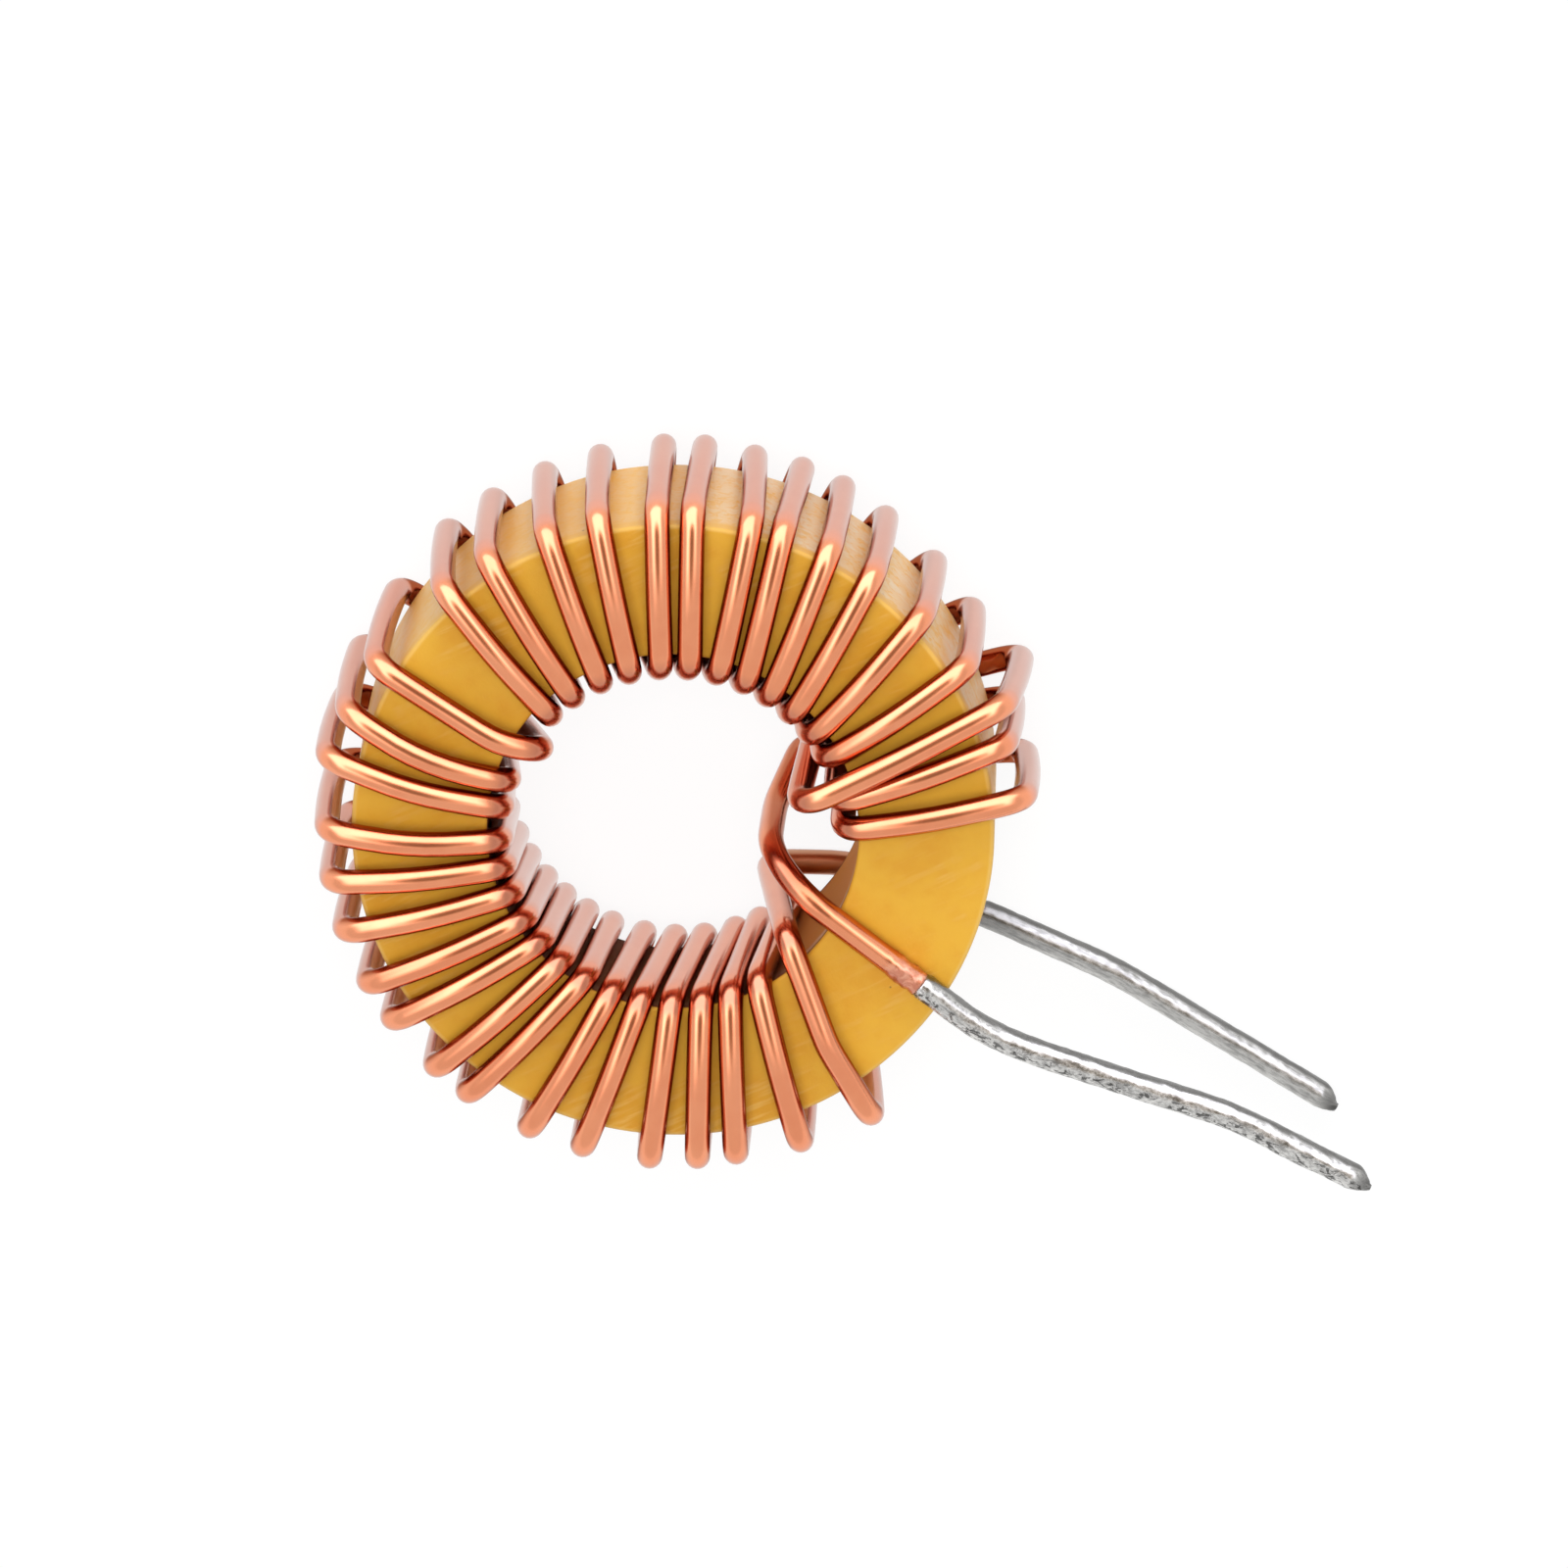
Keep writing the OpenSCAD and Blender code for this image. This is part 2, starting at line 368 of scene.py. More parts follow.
def tracePath(corners, step=0.1):
    # corners joined by straight legs and round bends, sampled every step
    places = [Vector(corner[0]) for corner in corners]
    traced, start = [], places[0]
    for index in range(1, len(corners)):
        arriving = (places[index] - places[index - 1]).normalized()
        leaving = (places[index + 1] - places[index]).normalized() if index < len(corners) - 1 else arriving
        angle = arriving.angle(leaving)
        reach = corners[index][1] * math.tan(angle / 2)
        end = places[index] - arriving * reach
        count = max(1, round((end - start).length / step))
        bow = bowDirection(corners[index - 1][2], (start + end) / 2)
        for k in range(count):
            share = k / count
            traced.append(start.lerp(end, share) + bow * math.sin(math.pi * share))
        if angle > 0.001:
            axis = arriving.cross(leaving).normalized()
            spoke = arriving.cross(axis)
            centre = end - spoke * corners[index][1]
            count = max(2, round(corners[index][1] * angle / step))
            for k in range(count):
                turned = angle * k / count
                traced.append(centre + corners[index][1] * (spoke * math.cos(turned) + arriving * math.sin(turned)))
        start = places[index] + leaving * reach
    traced.append(places[-1])
    return np.array([tuple(place) for place in traced])


def evenSteps(places, step):
    gaps = np.linalg.norm(np.diff(places, axis=0), axis=1)
    along = np.concatenate([[0], np.cumsum(gaps)])
    wanted = np.linspace(0, along[-1], max(2, int(along[-1] / step)))
    return np.stack([np.interp(wanted, along, places[:, k]) for k in range(3)], axis=1)


def soften(places, width, step):
    reach = int(3 * width / step)
    weights = np.exp(-0.5 * (np.arange(-reach, reach + 1) * step / width) ** 2)
    weights /= weights.sum()
    padded = np.concatenate([np.repeat(places[:1], reach, 0), places, np.repeat(places[-1:], reach, 0)])
    smooth = np.stack([np.convolve(padded[:, k], weights, mode="valid") for k in range(3)], axis=1)
    smooth[0], smooth[-1] = places[0], places[-1]
    return smooth


def thinOut(places, turnLimit, lengthLimit):
    # fewer rings where the path is straight
    directions = np.diff(places, axis=0)
    directions /= np.linalg.norm(directions, axis=1)[:, None]
    kept, turned, gone = [0], 0.0, 0.0
    for k in range(1, len(places) - 1):
        turned += math.acos(min(1.0, float(directions[k] @ directions[k - 1])))
        gone += float(np.linalg.norm(places[k] - places[k - 1]))
        if turned > turnLimit or gone > lengthLimit:
            kept.append(k)
            turned, gone = 0.0, 0.0
    kept.append(len(places) - 1)
    return places[kept]


def awayFromCore(place):
    # the direction from the nearest point of the core's section
    distance = math.hypot(place[0], place[1])
    reach = min(max(distance, core["bore"]), core["outer"])
    level = min(max(place[2], core["bottom"]), core["top"])
    nearest = np.array((place[0] / distance * reach, place[1] / distance * reach, level))
    away = place - nearest
    return away / max(1e-6, np.linalg.norm(away))


def sweepTube(name, places, radiusAt, sides):
    # a round tube along a path, closed at both ends; its "lay" attribute holds the place across and along it,
    # in mm, "upright" is 1 where it stands and 0 where it lies, and "open" is 1 on the
    # side that faces away from the core and 0 on the sides that its neighbours shade
    places = np.asarray(places)
    gaps = np.linalg.norm(np.diff(places, axis=0), axis=1)
    along = np.concatenate([[0], np.cumsum(gaps)])
    tangents = np.gradient(places, axis=0)
    tangents /= np.linalg.norm(tangents, axis=1)[:, None]
    side = np.cross(tangents[0], (0, 0, 1) if abs(tangents[0][2]) < 0.9 else (1, 0, 0))
    angles = np.arange(sides) * 2 * math.pi / sides
    points, lay, upright, openness = [], [], [], []
    for k, place in enumerate(places):
        side = side - tangents[k] * (side @ tangents[k])
        side /= np.linalg.norm(side)
        other = np.cross(tangents[k], side)
        away = awayFromCore(place)
        for angle in angles:
            radius = radiusAt(along[k], angle, along[-1])
            across = side * math.cos(angle) + other * math.sin(angle)
            points.append(place + across * radius)
            lay.append((0.5 * math.cos(angle), 0.5 * math.sin(angle), along[k]))
            upright.append(abs(tangents[k][2]))
            openness.append(across @ away)
    faces = []
    for k in range(len(places) - 1):
        for j in range(sides):
            after = (j + 1) % sides
            faces.append((k * sides + j, k * sides + after, (k + 1) * sides + after, (k + 1) * sides + j))
    faces.append(tuple(reversed(range(sides))))
    faces.append(tuple(range((len(places) - 1) * sides, len(places) * sides)))
    mesh = bpy.data.meshes.new(name)
    mesh.from_pydata([tuple(point * mm) for point in points], [], faces)
    attribute = mesh.attributes.new("lay", "FLOAT_VECTOR", "POINT")
    attribute.data.foreach_set("vector", np.array(lay, dtype=np.float32).ravel())
    for label, values in (("upright", upright), ("open", openness)):
        attribute = mesh.attributes.new(label, "FLOAT", "POINT")
        attribute.data.foreach_set("value", np.array(values, dtype=np.float32))
    mesh.shade_smooth()
    return addObject(name, mesh)


# The winding

winding = {
    "step": 0.1,            # mm between the points of the route before it is thinned out
    "turnPerRing": 4.5,     # the most that the wire turns from one ring to the next, in degrees
    "longestRing": 0.9,
    "endRings": 14,         # this many rings at the front end are laid again, closer
    "endStep": 0.09,
    "roughLength": 1.7,     # scraped copper ahead of the front tin
    "roughHeight": 0.06,
}


def wholeRoute():
    corners = [(pointAt(rearCorners, leads["rearStrip"]), 0, "")] + rearCorners[3:]
    for turn in range(len(wire["boreFront"])):
        corners += turnCorners(turn)
    corners += list(reversed(frontCorners[3:]))
    corners.append((pointAt(frontCorners, leads["frontStrip"]), 0, ""))
    return corners


def makeWinding():
    step, last = winding["step"], winding["endRings"]
    places = soften(evenSteps(tracePath(wholeRoute()), step), wire["softness"], step)
    places = thinOut(places, math.radians(winding["turnPerRing"]), winding["longestRing"])
    places = np.concatenate([places[:-last], evenSteps(places[-last:], winding["endStep"])])

    def radiusAt(along, angle, whole):
        radius = wire["diameter"] / 2
        left = whole - along
        if left < winding["roughLength"]:
            share = 1 - left / winding["roughLength"]
            lumps = noise.noise((math.cos(angle) * 1.6, math.sin(angle) * 1.6, along * 3.0))
            ridges = noise.noise((math.cos(angle) * 4 + 7, math.sin(angle) * 4, along * 8.0))
            radius += winding["roughHeight"] * min(1, share * 2.5) * (lumps + 0.6 * ridges + 0.2)
        return radius

    made = sweepTube("enamelledWire", places, radiusAt, wire["sides"])
    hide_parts("winding")
    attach(made, "root")
    return made


enamelledWire = makeWinding()
print("winding: made with", len(enamelledWire.data.polygons), "faces")


# The tinned leads

tinning = {
    "sides": 36,
    "ring": 0.09,           # mm between rings
    "lump": 0.028,          # height of the lumps that the dipping left
    "ripple": 0.012,
    "start": 0.25,          # length over which the coat thins out to the copper
    "step": 0.08,
    "softness": 0.2,
    "tipRings": 11,
    # of each lead: where its noise starts, the share of the lumps that it has, the slant of its tip
    "front": (3.1, 1.0, 0.14),
    "rear": (11.7, 0.6, 0.24),
}


def makeTinning(name, node, corners, strip, lead):
    seed, lumpShare, slant = tinning[lead]
    lump = tinning["lump"] * lumpShare
    kept = corners[:3] + [(pointAt(corners, strip), 0, "")]
    step, rings = tinning["step"], tinning["tipRings"]
    places = soften(evenSteps(tracePath(list(reversed(kept)), step), step), tinning["softness"], step)
    direction = places[-1] - places[-2]
    direction /= np.linalg.norm(direction)
    reaches = np.arange(1, rings + 1) * leads["tipLength"] / (rings + 0.5)
    tip = np.array([places[-1] + direction * reach for reach in reaches])
    places = np.concatenate([evenSteps(places, tinning["ring"]), tip])

    def radiusAt(along, angle, whole):
        x, y = math.cos(angle), math.sin(angle)
        broad = noise.noise((x * 0.9 + seed, y * 0.9, along * 0.55))
        middle = noise.noise((x * 2.2, y * 2.2 + seed, along * 1.7))
        small = noise.noise((x * 5 + seed, y * 5, along * 4.5))
        radius = tinRadius + lump * (broad + 0.8 * middle) + tinning["ripple"] * small
        if along < tinning["start"]:
            ragged = 0.35 * noise.noise((x * 2 + seed, y * 2, 0.5))
            share = max(0.0, min(1.0, along / tinning["start"] + ragged))
            radius = (wire["diameter"] / 2 - 0.01) * (1 - share) + radius * share
        left = whole - along
        if left < leads["tipLength"]:
            share = 1 - left / leads["tipLength"]
            share = min(1.0, share * (1 - slant * x))
            slope = math.sqrt(max(0.0, 1 - share ** 1.9)) * 0.7 + 0.3 * (1 - share)
            radius *= max(0.06, slope + 0.16 * middle * share)
        return radius

    made = sweepTube(name, places, radiusAt, tinning["sides"])
    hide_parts(node)
    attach(made, "root")
    return made


frontTin = makeTinning("frontTin", "front_tinning", frontCorners, leads["frontStrip"], "front")
rearTin = makeTinning("rearTin", "rear_tinning", rearCorners, leads["rearStrip"], "rear")
print("leads: tinned")


# The core

def boreWall(height):
    return core["bore"] + core["draft"] * (core["top"] - height) / (core["top"] - core["bottom"])


def coreProfile():
    # the painted section as a closed loop of distance and height, in mm
    edge, corners = core["edge"], []
    high, low = core["top"] - edge, core["bottom"] + edge
    for centreX, centreZ, start in (
            (core["outer"] - edge, high, 0), (boreWall(high) + edge, high, 90),
            (boreWall(low) + edge, low, 180), (core["outer"] - edge, low, 270)):
        corners.append([(centreX + edge * math.cos(math.radians(start + turn)),
                         centreZ + edge * math.sin(math.radians(start + turn))) for turn in range(0, 91, 15)])
    loop = []
    for index, arc in enumerate(corners):
        loop += arc
        following = corners[(index + 1) % 4][0]
        (startX, startZ), (endX, endZ) = arc[-1], following
        for share in (k / core["rows"] for k in range(1, core["rows"])):
            loop.append((startX + (endX - startX) * share, startZ + (endZ - startZ) * share))
    return loop


def makeCore():
    loop = coreProfile()
    steps, count = core["steps"], len(loop)
    points = []
    for k in range(steps):
        angle = 2 * math.pi * k / steps
        for radius, height in loop:
            x, y = math.cos(angle), math.sin(angle)
            wander = noise.noise((x * radius * 0.35, y * radius * 0.35, height * 0.35))
            shrink = 1 - core["unevenness"] * (0.5 + wander * 0.5) / radius
            points.append((x * radius * shrink * mm, y * radius * shrink * mm, height * mm))
    faces = []
    for k in range(steps):
        here, there = k * count, ((k + 1) % steps) * count
        for j in range(count):
            after = (j + 1) % count
            faces.append((here + j, there + j, there + after, here + after))
    mesh = bpy.data.meshes.new("paintedRing")
    mesh.from_pydata(points, [], faces)
    mesh.shade_smooth()
    made = addObject("paintedRing", mesh)
    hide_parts("core")
    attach(made, "root")
    return made


paintedRing = makeCore()
print("core: made")


# Materials

paint = {
    "yellow": colour(236, 180, 56),
    "deepYellow": colour(230, 166, 46),
    "paleYellow": colour(242, 196, 100),
    "cream": colour(242, 224, 188),
    "white": colour(232, 226, 210),
    # painted shade: the yellow as it looks in the shade of the bore
    "wall": colour(228, 166, 76),
    "line": colour(132, 104, 78),
    # painted shade behind the turns
    "brown": colour(112, 56, 30),
    "unwoundTowards": 5,    # the middle of the side without turns, in degrees
    "darkBrown": colour(82, 58, 40),
    "bareTowards": 78,      # the side of the rim with the least paint, in degrees
    "skin": 0.45,           # how far down the rim the yellow reaches before the cream starts, in mm
    "rimPaintedSheen": 0.8,     # how much paler the yellow is painted on the rim, a painted sheen
    "brushedTowards": 128,  # the direction of the brush strokes, in degrees
    "strokeDepth": 0.6,
    "brownDepth": 0.9,
    "roughness": (0.42, 0.6),
    "boreRougher": 0.3,     # what the wall of the bore adds to that
}


def makePaint():
    made, tree, shader = startMaterial("corePaint")
    place = stretch(tree, addNode(tree, "TexCoord").outputs["Object"], (1000, 1000, 1000))  # in mm
    parts = split(tree, place)
    distance = fromAxis(tree, parts)
    below = calc(tree, "SUBTRACT", core["top"], parts["Z"])

    # yellow with slow changes of depth and a fine mottle
    depth = useGroup(tree, grainGroup, {"Vector": place, "Scale": 0.22,
                                        "Fine Scale": 1.6, "Fine Share": 0.35})["Height"]
    base = blendColours(tree, remap(tree, depth, 0.38, 0.66), paint["yellow"], paint["deepYellow"])

    # pale strokes where the brush ran out, near the rim
    brushed = addNode(tree, "VectorRotate", {"Vector": place, "Angle": math.radians(paint["brushedTowards"])},
                      rotation_type="Z_AXIS").outputs["Vector"]
    drawn = stretch(tree, brushed, (0.35, 3.2, 1.0))
    strokes = addNode(tree, "TexNoise", {"Vector": drawn, "Scale": 1.3, "Detail": 3.0}).outputs["Fac"]
    strokeZone = times(tree, remap(tree, distance, 8.0, 11.4, 0.25, 1.0), remap(tree, depth, 0.42, 0.62))
    strokes = times(tree, strokeZone, remap(tree, strokes, 0.48, 0.66, 0.0, paint["strokeDepth"]))
    base = blendColours(tree, strokes, base, paint["paleYellow"])

    # on the rim the yellow only reaches a little way down, and cream shows through in patches
    onRim = remap(tree, distance, core["outer"] - 0.22, core["outer"] - 0.1)
    dust = useGroup(tree, patchGroup, {"Vector": place, "Scale": 0.5, "Amount": 0.5,
                                       "Softness": 0.12, "Distortion": 0.4})["Mask"]
    ragged = useGroup(tree, patchGroup, {"Vector": place, "Scale": 2.6, "Amount": 0.54,
                                         "Softness": 0.08, "Distortion": 1.0})["Mask"]
    deep = remap(tree, below, paint["skin"], paint["skin"] + 0.5)
    barer = remap(tree, reachTowards(tree, place, paint["bareTowards"]), core["outer"] * 0.6, core["outer"], 0.3, 1.0)
    bare = calc(tree, "ADD", times(tree, dust, 0.45), times(tree, ragged, 0.55))
    bare = times(tree, times(tree, bare, barer), deep)
    # painted sheen: all round the rim the yellow is painted paler
    base = blendColours(tree, times(tree, onRim, paint["rimPaintedSheen"]), base, paint["paleYellow"])
    base = blendColours(tree, times(tree, onRim, bare), base, paint["cream"])

    # the wall of the bore: a dark line at the edge, a pale band and then orange, a yellow painted darker for the shade
    # inside the bore
    widest = core["bore"] + core["draft"]
    inBore = times(tree, remap(tree, distance, widest + 0.3, widest + 0.1), remap(tree, below, 0.06, 0.12))
    wander = times(tree, calc(tree, "SUBTRACT", depth, 0.5), 0.5)
    level = calc(tree, "ADD", below, wander)
    band = times(tree, remap(tree, level, 0.2, 0.34), remap(tree, level, 1.0, 0.6))
    line = times(tree, remap(tree, level, 0.08, 0.14), remap(tree, level, 0.34, 0.22))
    wall = blendColours(tree, times(tree, band, 0.6), paint["wall"], paint["cream"])
    wall = blendColours(tree, times(tree, line, 0.7), wall, paint["line"])
    # and painted shade: brown behind the turns, where they shade the wall
    facing = reachTowards(tree, place, paint["unwoundTowards"])
    wound = remap(tree, calc(tree, "DIVIDE", facing, distance), 0.93, 0.84)
    wall = blendColours(tree, times(tree, wound, paint["brownDepth"]), wall, paint["brown"])
    thickness = core["top"] - core["bottom"]
    # and darker towards the back end of the bore wall
    lowest = remap(tree, below, thickness - 0.35, thickness - 0.2)
    wall = blendColours(tree, times(tree, lowest, 0.8), wall, paint["darkBrown"])
    base = blendColours(tree, inBore, base, wall)

    # the back is white
    onBack = remap(tree, parts["Z"], core["bottom"] + 0.14, core["bottom"] + 0.06)
    base = blendColours(tree, onBack, base, paint["white"])

    # a few dark specks
    specks = addNode(tree, "TexVoronoi", {"Vector": place, "Scale": 1.1, "Randomness": 1.0}, feature="F1")
    speckSize = remap(tree, specks.outputs["Distance"], 0.075, 0.03)
    chosen = addNode(tree, "SeparateColor", {"Color": specks.outputs["Color"]}).outputs[0]
    speck = times(tree, speckSize, remap(tree, chosen, 0.82, 0.9))
    base = blendColours(tree, times(tree, speck, 0.7), base, paint["darkBrown"])
    tree.links.new(base, shader.inputs["Base Color"])

    tooth = useGroup(tree, grainGroup, {"Vector": place, "Scale": 2.2,
                                        "Fine Scale": 9.0, "Fine Share": 0.45})["Height"]
    rough = remap(tree, tooth, 0.3, 0.7, *paint["roughness"], smooth=False)
    rough = calc(tree, "ADD", rough, times(tree, inBore, paint["boreRougher"]))
    tree.links.new(rough, shader.inputs["Roughness"])
    bump = addNode(tree, "Bump", {"Height": tooth, "Strength": 0.25, "Distance": 0.00006})
    tree.links.new(bump.outputs["Normal"], shader.inputs["Normal"])
    return made


copper = {
    "bright": colour(249, 152, 98),
    "deep": colour(241, 136, 80),
    "shaded": colour(172, 84, 46),
    # painted reflection of the pale floor on the upright runs, at the rim and in the bore
    "rimReflection": colour(232, 178, 172),
    "boreReflection": colour(244, 172, 152),
    "scraped": colour(250, 178, 144),
    "dark": colour(206, 118, 84),
    "dull": colour(190, 132, 84),
    "grazing": (0.62, 0.52, 0.48, 1),
    "roughness": (0.16, 0.24),
    "bendDarkReflection": 0.7,       # how dark the painted reflection on the bends over the edge of the bore is
    "pinkReflection": 0.35,       # how much of the painted pink reflection the upright runs get
    "scrapedDepth": 0.85,
    "underRingShade": 0.9,        # how far the start of the wire, under the ring, is painted dull brown as shade
    "worn": 0.2,            # the roughness that the dull and the scraped parts add
    "darkFrom": (0.8, 0.15),  # how squarely a side faces off the core where it starts to darken and ends
    "coatLeast": 0.1,       # the weight of the coat on those dark sides
    "coatRoughness": 0.2,
    "coatGloss": 1.8,       # its index of refraction
    "boreUntil": (0.0075, 0.0085),  # distances from the axis, in m, within which a bend is at the bore
    "rimFrom": (0.008, 0.011),      # and from which a run is at the rim
    # lengths along the wire, in mm
    "dullUntil": (7.6, 8.8),
    "riserLength": 16,      # from the start to the top of the first run up the bore
    "leadLength": 15,       # from the floor of the bore to the front end
}


def makeEnamel(wholeLength):
    made, tree, shader = startMaterial("enamelledCopper")
    lay = addNode(tree, "Attribute", attribute_name="lay").outputs["Vector"]
    along = split(tree, lay)["Z"]
    drawn = stretch(tree, lay, (3.0, 3.0, 0.12))
    streaks = useGroup(tree, grainGroup, {"Vector": drawn, "Scale": 1.2,
                                          "Fine Scale": 5.0, "Fine Share": 0.4})["Height"]
    slow = useGroup(tree, grainGroup, {"Vector": lay, "Scale": 0.16, "Fine Scale": 1.3, "Fine Share": 0.3})["Height"]
    base = blendColours(tree, remap(tree, slow, 0.35, 0.68), copper["bright"], copper["deep"])

    # the last of it is scraped, with a ragged start
    ragged = calc(tree, "ADD", along, times(tree, calc(tree, "SUBTRACT", streaks, 0.5), 2.5))
    nearEnd = remap(tree, ragged, wholeLength - winding["roughLength"], wholeLength - winding["roughLength"] * 0.5)
    scrape = useGroup(tree, patchGroup, {"Vector": lay, "Scale": 2.6, "Amount": 0.52,
                                         "Softness": 0.16, "Distortion": 0.6})["Mask"]
    scraped = blendColours(tree, scrape, copper["scraped"], copper["dark"])
    base = blendColours(tree, times(tree, nearEnd, copper["scrapedDepth"]), base, scraped)

    # painted reflection: the upright runs, outside and in the bore, are painted pink for the pale floor that they
    # reflect; the lead that rises from it isn't
    distance = fromAxis(tree, split(tree, addNode(tree, "TexCoord").outputs["Object"]))
    reflectedPink = blendColours(tree, remap(tree, distance, *copper["rimFrom"]), copper["boreReflection"], copper["rimReflection"])
    leadStart = wholeLength - copper["leadLength"]
    ending = remap(tree, along, leadStart, leadStart + 2)
    starting = remap(tree, along, copper["riserLength"] + 1, copper["riserLength"])
    plain = calc(tree, "SUBTRACT", 1.0, calc(tree, "MAXIMUM", ending, times(tree, starting, 0.6)))
    upright = addNode(tree, "Attribute", attribute_name="upright").outputs["Fac"]
    # half way between lying and standing it bends over the edge of the bore, and is painted dark there, a painted
    # reflection
    band = times(tree, remap(tree, upright, 0.25, 0.6), remap(tree, upright, 0.95, 0.7))
    band = times(tree, band, remap(tree, distance, copper["boreUntil"][1], copper["boreUntil"][0]))
    base = blendColours(tree, times(tree, band, copper["bendDarkReflection"]), base, copper["shaded"])
    standing = times(tree, remap(tree, upright, 0.8, 0.96), plain)
    base = blendColours(tree, times(tree, standing, copper["pinkReflection"]), base, reflectedPink)

    # painted shade: the sides of a run are painted dull and dark where its neighbours and the core shade it
    openSide = addNode(tree, "Attribute", attribute_name="open").outputs["Fac"]
    hidden = remap(tree, along, copper["dullUntil"][1], copper["dullUntil"][0])
    worn = calc(tree, "MAXIMUM", hidden, nearEnd)
    shade = remap(tree, openSide, *copper["darkFrom"])
    for mask, least in ((standing, 0.2), (ending, 0.7), (worn, 0.25)):
        shade = times(tree, shade, remap(tree, mask, 0.0, 1.0, 1.0, least, smooth=False))
    # painted shade: the start of the wire, under the ring, is painted dull brown
    base = blendColours(tree, times(tree, hidden, copper["underRingShade"]), base, copper["dull"])
    base = blendColours(tree, shade, base, copper["shaded"])
    coat = remap(tree, shade, 0.0, 1.0, 1.0, copper["coatLeast"], smooth=False)
    tree.links.new(coat, shader.inputs["Coat Weight"])
    tree.links.new(base, shader.inputs["Base Color"])
    rough = remap(tree, streaks, 0.3, 0.7, *copper["roughness"], smooth=False)
    rough = calc(tree, "ADD", rough, times(tree, worn, copper["worn"]))
    tree.links.new(rough, shader.inputs["Roughness"])
    bump = addNode(tree, "Bump", {"Height": streaks, "Strength": 0.12, "Distance": 0.00003})
    tree.links.new(bump.outputs["Normal"], shader.inputs["Normal"])
    shader.inputs["Metallic"].default_value = 1.0
    shader.inputs["Specular Tint"].default_value = copper["grazing"]
    shader.inputs["Coat Roughness"].default_value = copper["coatRoughness"]
    shader.inputs["Coat IOR"].default_value = copper["coatGloss"]
    return made


tin = {
    "front": {"bright": colour(228, 227, 224), "dull": colour(168, 167, 165), "pits": 0.46,
              "drawnOut": 1.3, "bump": 0.45, "tip": leads["frontTip"], "shadeUntil": 0},
    "rear": {"bright": colour(204, 203, 200), "dull": colour(156, 155, 153), "pits": 0.3,
             "drawnOut": 0.5, "bump": 0.1, "tip": leads["rearTip"], "shadeUntil": core["outer"] + 4.5},
    "pit": colour(44, 43, 42),
    "edge": colour(98, 97, 96),
    "roughness": (0.18, 0.34),
}


def makeTin(name, finish):
    made, tree, shader = startMaterial(name)
    lay = addNode(tree, "Attribute", attribute_name="lay").outputs["Vector"]
    drawn = stretch(tree, lay, (2.2, 2.2, finish["drawnOut"]))
    lumps = useGroup(tree, grainGroup, {"Vector": drawn, "Scale": 1.5, "Fine Scale": 5.5, "Fine Share": 0.5})["Height"]
    base = blendColours(tree, remap(tree, lumps, 0.36, 0.62), finish["dull"], finish["bright"])
    pits = useGroup(tree, patchGroup, {"Vector": drawn, "Scale": 2.0, "Amount": finish["pits"],
                                       "Softness": 0.03, "Distortion": 0.9})["Mask"]

    # the lower side is more pitted, and a painted dark reflection runs as a line along the upper one
    coordinates = addNode(tree, "TexCoord").outputs
    facing = split(tree, coordinates["Normal"])["Y"]
    lower = remap(tree, facing, 0.35, -0.3, 0.1, 1.0)
    pits = times(tree, pits, lower)
    base = blendColours(tree, times(tree, pits, 0.8), base, tin["pit"])
    uneven = times(tree, calc(tree, "SUBTRACT", lumps, 0.5), 0.5)
    line = remap(tree, calc(tree, "ADD", facing, uneven), 0.74, 0.9)
    base = blendColours(tree, times(tree, line, 0.8), base, tin["edge"])

    # the tip is darker, and the rear lead where it comes out from under the ring is painted darker as shade
    along = split(tree, coordinates["Object"])["X"]
    tip = remap(tree, along, (finish["tip"] - 1.1) * mm, (finish["tip"] - 0.1) * mm)
    base = blendColours(tree, times(tree, tip, remap(tree, lumps, 0.4, 0.55, 0.45, 0.85)), base, tin["pit"])
    if finish["shadeUntil"]:
        hidden = remap(tree, along, finish["shadeUntil"] * mm, (finish["shadeUntil"] - 3.5) * mm, 0.0, 0.6)
        base = blendColours(tree, hidden, base, tin["edge"])
    tree.links.new(base, shader.inputs["Base Color"])
    tree.links.new(remap(tree, lumps, 0.3, 0.7, *tin["roughness"], smooth=False), shader.inputs["Roughness"])
    height = calc(tree, "SUBTRACT", lumps, times(tree, pits, 0.4))
    bump = addNode(tree, "Bump", {"Height": height, "Distance": 0.00008,
                                  "Strength": times(tree, lower, finish["bump"])})
    tree.links.new(bump.outputs["Normal"], shader.inputs["Normal"])
    shader.inputs["Metallic"].default_value = 1.0
    return made


wireLength = max(item.vector[2] for item in enamelledWire.data.attributes["lay"].data)
paintedRing.data.materials.append(makePaint())
enamelledWire.data.materials.append(makeEnamel(wireLength))
frontTin.data.materials.append(makeTin("frontTinFinish", tin["front"]))
rearTin.data.materials.append(makeTin("rearTinFinish", tin["rear"]))
print("materials: made")


# Floor, world and lamps

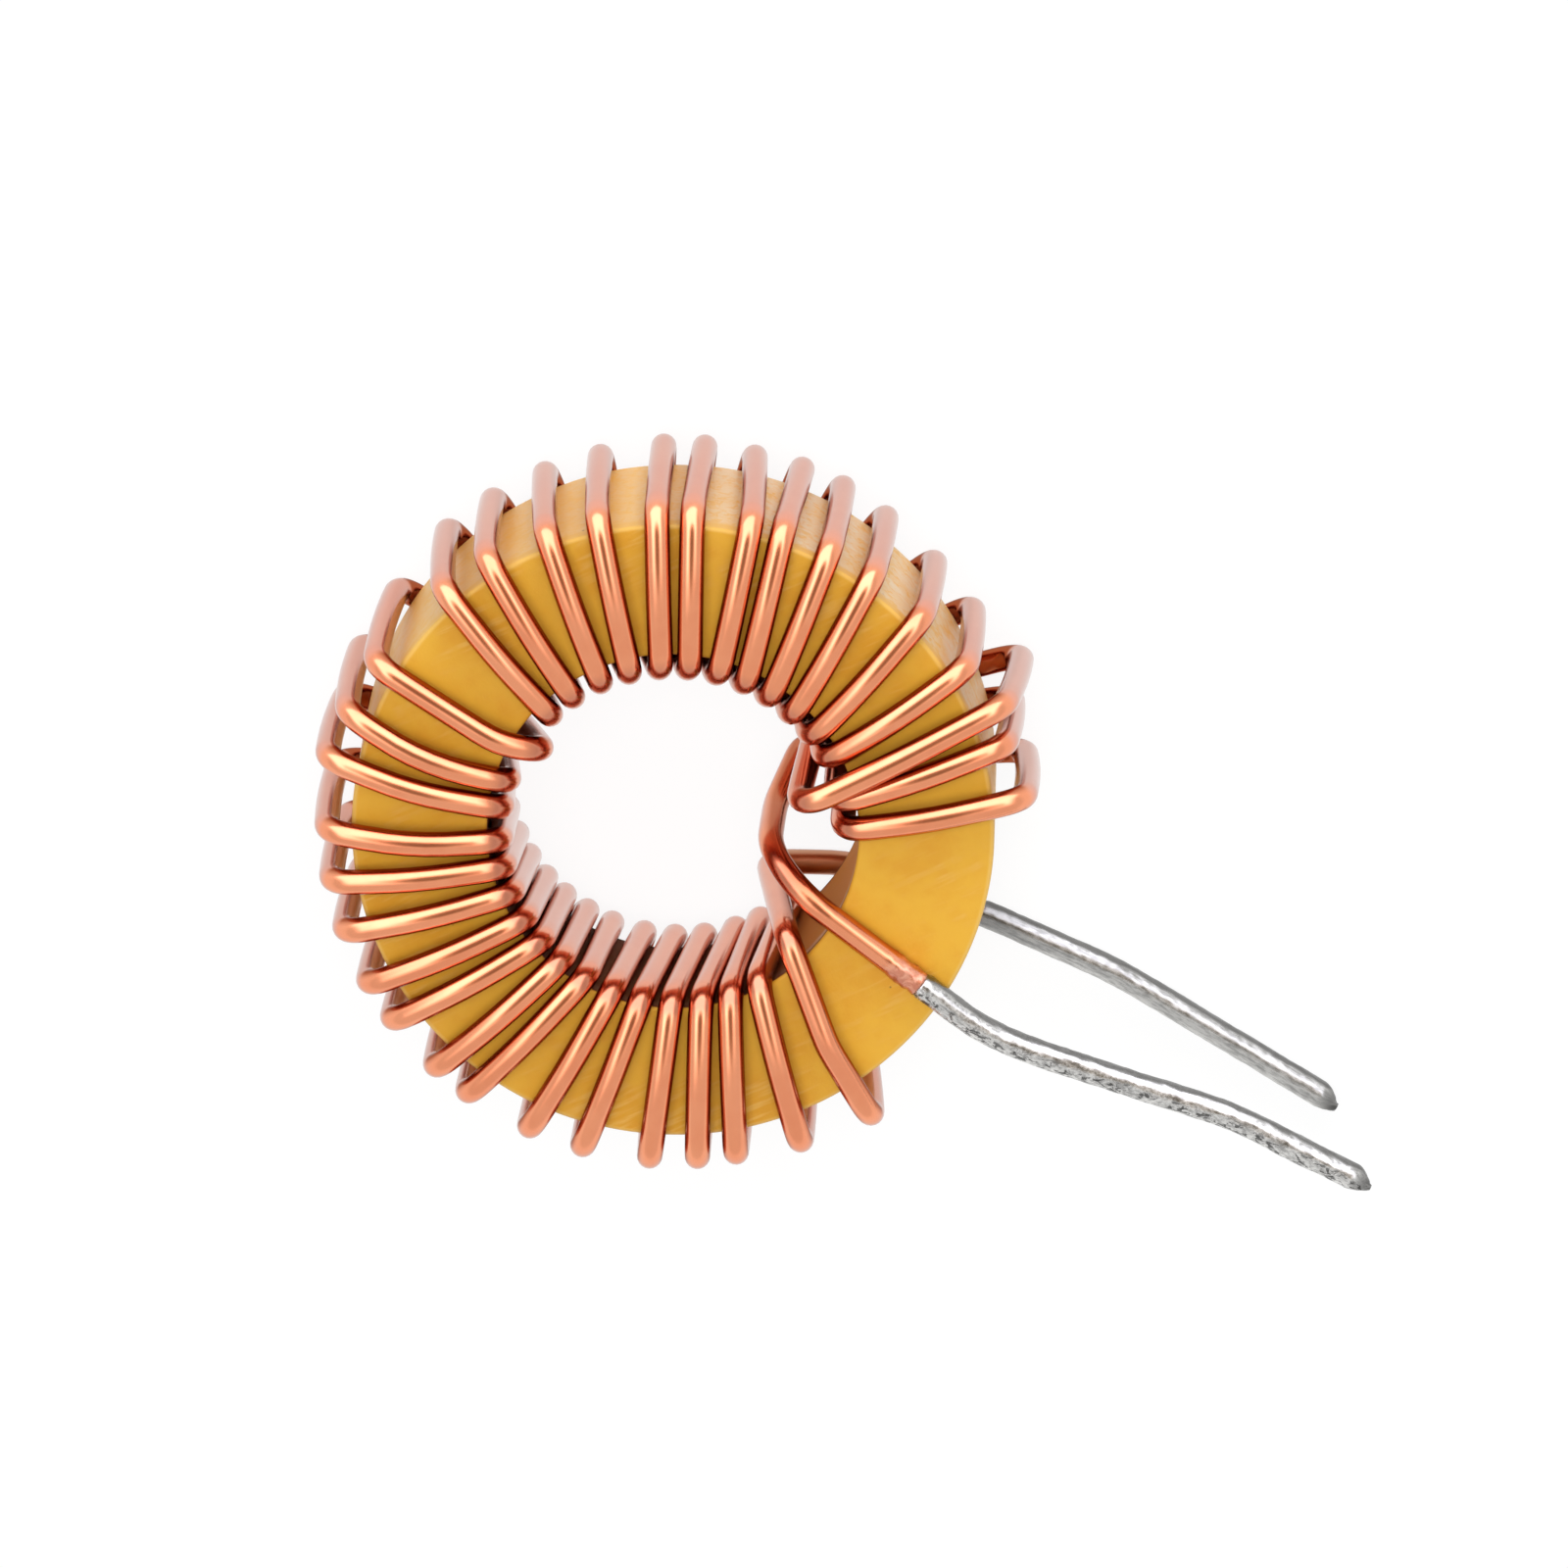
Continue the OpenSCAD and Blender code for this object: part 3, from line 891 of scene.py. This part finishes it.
studio = {
    "floorSize": 3.0,
    "floorLevel": -0.00002,
    "floorWhite": colour(245, 245, 245),
    "floorGlow": 0.86,      # share of plain white that the floor shows to the camera
    "glowStrength": 1.04,
    "fill": 0.48,           # strength of the world on matt surfaces
    "horizon": 1.0,
    "dim": 0.82,            # the dome as gloss sees it, on the side that the leads point to
    "bright": 2.9,          # and on the side beyond the ring
    "brightTowards": 128,   # its direction about the ring's axis, in degrees
    "brightSides": (0.55, 0.8),  # and how far it spreads to its sides, as sines
    "lensTowards": 118,     # the lens shows as a dark round in all that gloss
    "lensTilt": 13,
    "lensSize": (30, 8),    # where the round ends and where it is darkest, in degrees
    "lensDepth": 0.88,
    "brightColour": (1.0, 1.0, 1.1, 1),
    "lensColour": (1.0, 0.84, 0.66, 1),
    # each lamp is its place, size and power: one overhead and one low beyond the ring
    "lamps": {"key": ((-0.06, 0.08, 0.5), 0.25, 1.25), "rim": ((-0.12, 0.4, 0.16), 0.25, 0.65)},
}


def seenRay(tree):
    # 1 for what the camera, gloss and glass see, 0 for the light that falls on matt surfaces
    path = addNode(tree, "LightPath").outputs
    shiny = calc(tree, "MAXIMUM", path["Is Glossy Ray"], path["Is Transmission Ray"])
    return calc(tree, "MAXIMUM", path["Is Camera Ray"], shiny)


def makeFloor():
    half = studio["floorSize"] / 2
    mesh = bpy.data.meshes.new("floor")
    mesh.from_pydata([(-half, -half, 0), (half, -half, 0), (half, half, 0), (-half, half, 0)], [], [(0, 1, 2, 3)])
    made = addObject("floor", mesh)
    made.location.z = studio["floorLevel"]
    finish = bpy.data.materials.new("floorFinish")
    finish.use_nodes = True
    tree = finish.node_tree
    tree.nodes.clear()
    matt = addNode(tree, "BsdfDiffuse", {"Color": studio["floorWhite"]})
    glow = addNode(tree, "Emission", {"Color": (1, 1, 1, 1), "Strength": studio["glowStrength"]})
    share = times(tree, seenRay(tree), studio["floorGlow"])
    both = addNode(tree, "MixShader", {0: share})
    tree.links.new(matt.outputs[0], both.inputs[1])
    tree.links.new(glow.outputs[0], both.inputs[2])
    addNode(tree, "OutputMaterial", {"Surface": both.outputs[0]})
    mesh.materials.append(finish)


def makeWorld():
    world = bpy.data.worlds.new("studio")
    bpy.context.scene.world = world
    world.use_nodes = True
    tree = world.node_tree
    tree.nodes.clear()
    direction = addNode(tree, "TexCoord").outputs["Generated"]
    height = split(tree, direction)["Z"]

    def along(turn, tilt):
        turn, tilt = math.radians(turn), math.radians(tilt)
        axis = (math.sin(tilt) * math.cos(turn), math.sin(tilt) * math.sin(turn), math.cos(tilt))
        return addNode(tree, "VectorMath", {0: direction, 1: axis}, operation="DOT_PRODUCT").outputs["Value"]

    sideways = calc(tree, "ABSOLUTE", along(studio["brightTowards"] - 90, 90))
    far = times(tree, remap(tree, along(studio["brightTowards"], 90), -0.35, 0.35),
                remap(tree, sideways, studio["brightSides"][1], studio["brightSides"][0]))
    dome = remap(tree, far, 0.0, 1.0, studio["dim"], studio["bright"], smooth=False)
    outer, inner = (math.cos(math.radians(angle)) for angle in studio["lensSize"])
    lens = remap(tree, along(studio["lensTowards"], studio["lensTilt"]), outer, inner)
    kept = remap(tree, lens, 0.0, 1.0, 1.0, 1 - studio["lensDepth"], smooth=False)
    low = calc(tree, "MAXIMUM", dome, studio["horizon"])
    shown = blendValues(tree, remap(tree, height, 0.1, 0.35), low, times(tree, dome, kept))
    seen = seenRay(tree)
    strength = blendValues(tree, seen, studio["fill"], shown)
    tint = blendColours(tree, times(tree, far, seen), (1, 1, 1, 1), studio["brightColour"])
    tint = blendColours(tree, times(tree, lens, seen), tint, studio["lensColour"])
    background = addNode(tree, "Background", {"Color": tint, "Strength": strength})
    addNode(tree, "OutputWorld", {"Surface": background.outputs[0]})


def makeLamp(name, place, size, power):
    data = bpy.data.lights.new(name, "AREA")
    data.shape = "SQUARE"
    data.size = size
    data.energy = power
    made = bpy.data.objects.new(name, data)
    made.location = place
    made.rotation_mode = "QUATERNION"
    made.rotation_quaternion = (-Vector(place)).to_track_quat("-Z", "Y")
    made.visible_glossy = False
    bpy.context.scene.collection.objects.link(made)


makeFloor()
makeWorld()
for label, (place, size, power) in studio["lamps"].items():
    makeLamp(label + "Lamp", place, size, power)
bpy.context.scene.view_settings.view_transform = "Standard"
print("studio: lit")
